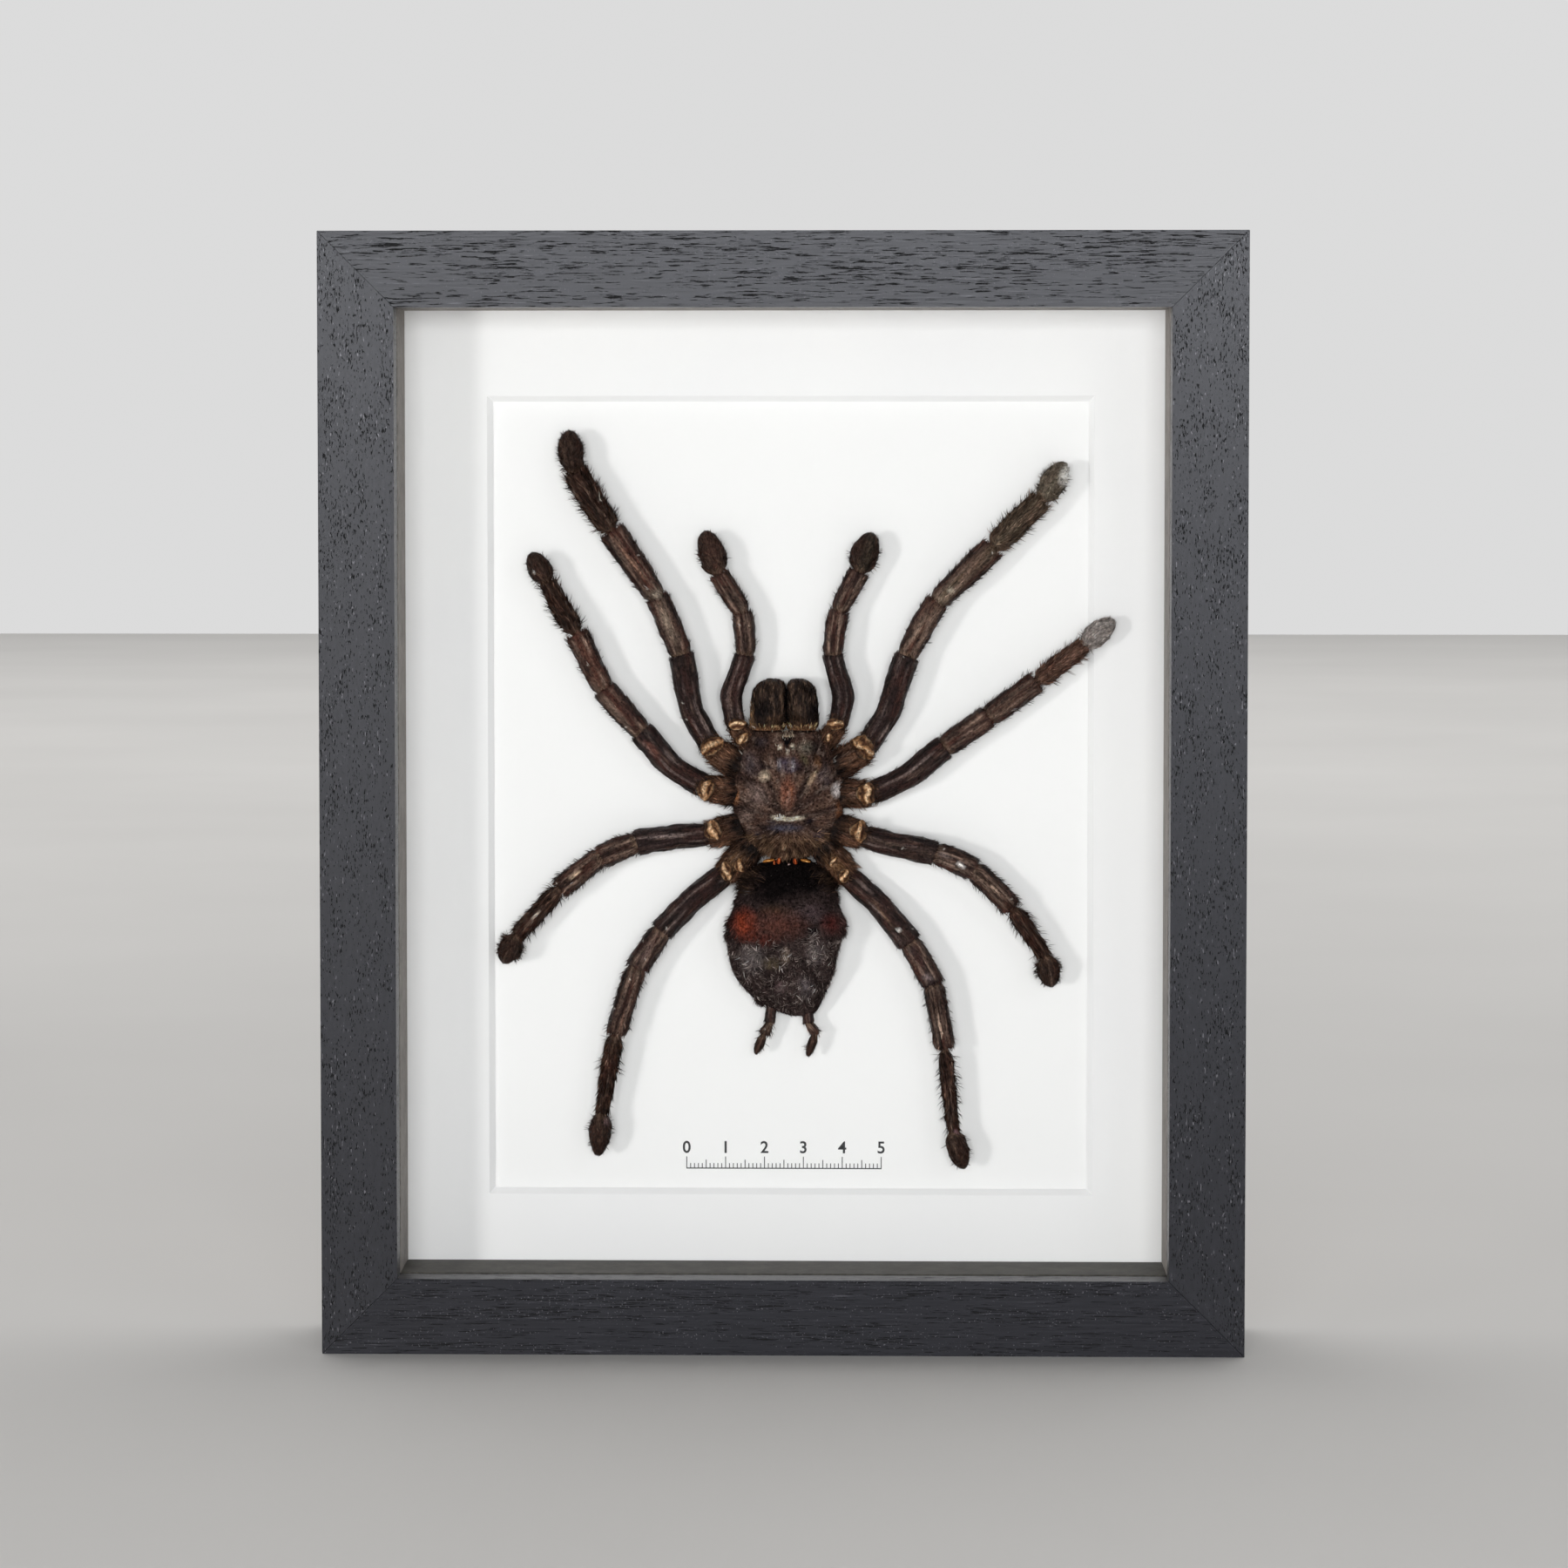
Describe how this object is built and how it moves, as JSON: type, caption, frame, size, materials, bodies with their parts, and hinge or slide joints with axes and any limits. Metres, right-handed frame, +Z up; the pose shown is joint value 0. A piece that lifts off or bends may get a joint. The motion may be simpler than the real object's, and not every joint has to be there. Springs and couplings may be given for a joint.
{
  "type": "framed tarantula specimen",
  "caption": "Dried, spread tarantula glued to a white card behind glass, in a deep black-stained box frame with a bevelled window mat.",
  "frame": {"origin": "on the surface the frame stands on, under the middle of its bounding box", "axes": "+Z up the frame, +X to the right of someone looking at the glass, -Y out of the glass towards them"},
  "size_m": [0.2316, 0.0372, 0.2816],
  "materials": {
    "black_wood": "open-pored wood, stained black, satin",
    "spacer_wood": "plain grey-brown stripwood, sawn and lightly sanded",
    "glass": "clear picture glass",
    "mat_board": "off-white window mat, matt",
    "card": "white card, matt, with a printed centimetre scale",
    "back_board": "brown hardboard, matt",
    "steel": "zinc-plated steel strip and nails",
    "cuticle": "dark brown dried cuticle with short hair"
  },
  "bodies": {
    "root": {"rail_top": "black_wood", "rail_bottom": "black_wood", "rail_left": "black_wood", "rail_right": "black_wood", "tab_top_1": "steel", "tab_top_2": "steel", "tab_bottom_1": "steel", "tab_bottom_2": "steel", "tab_left_1": "steel", "tab_left_2": "steel", "tab_right_1": "steel", "tab_right_2": "steel", "spacer_top": "spacer_wood", "spacer_bottom": "spacer_wood", "spacer_left": "spacer_wood", "spacer_right": "spacer_wood", "glass": "glass", "mat": "mat_board", "card": "card", "back_board": "back_board", "hanger": "steel", "hanger_nail_left": "steel", "hanger_nail_right": "steel", "carapace": "cuticle", "abdomen": "cuticle", "leg_left_1": "cuticle", "leg_left_2": "cuticle", "leg_left_3": "cuticle", "leg_left_4": "cuticle", "leg_right_1": "cuticle", "leg_right_2": "cuticle", "leg_right_3": "cuticle", "leg_right_4": "cuticle", "palp_left": "cuticle", "palp_right": "cuticle", "chelicera_left": "cuticle", "chelicera_right": "cuticle", "spinneret_left": "cuticle", "spinneret_right": "cuticle"}
  },
  "joints": []
}
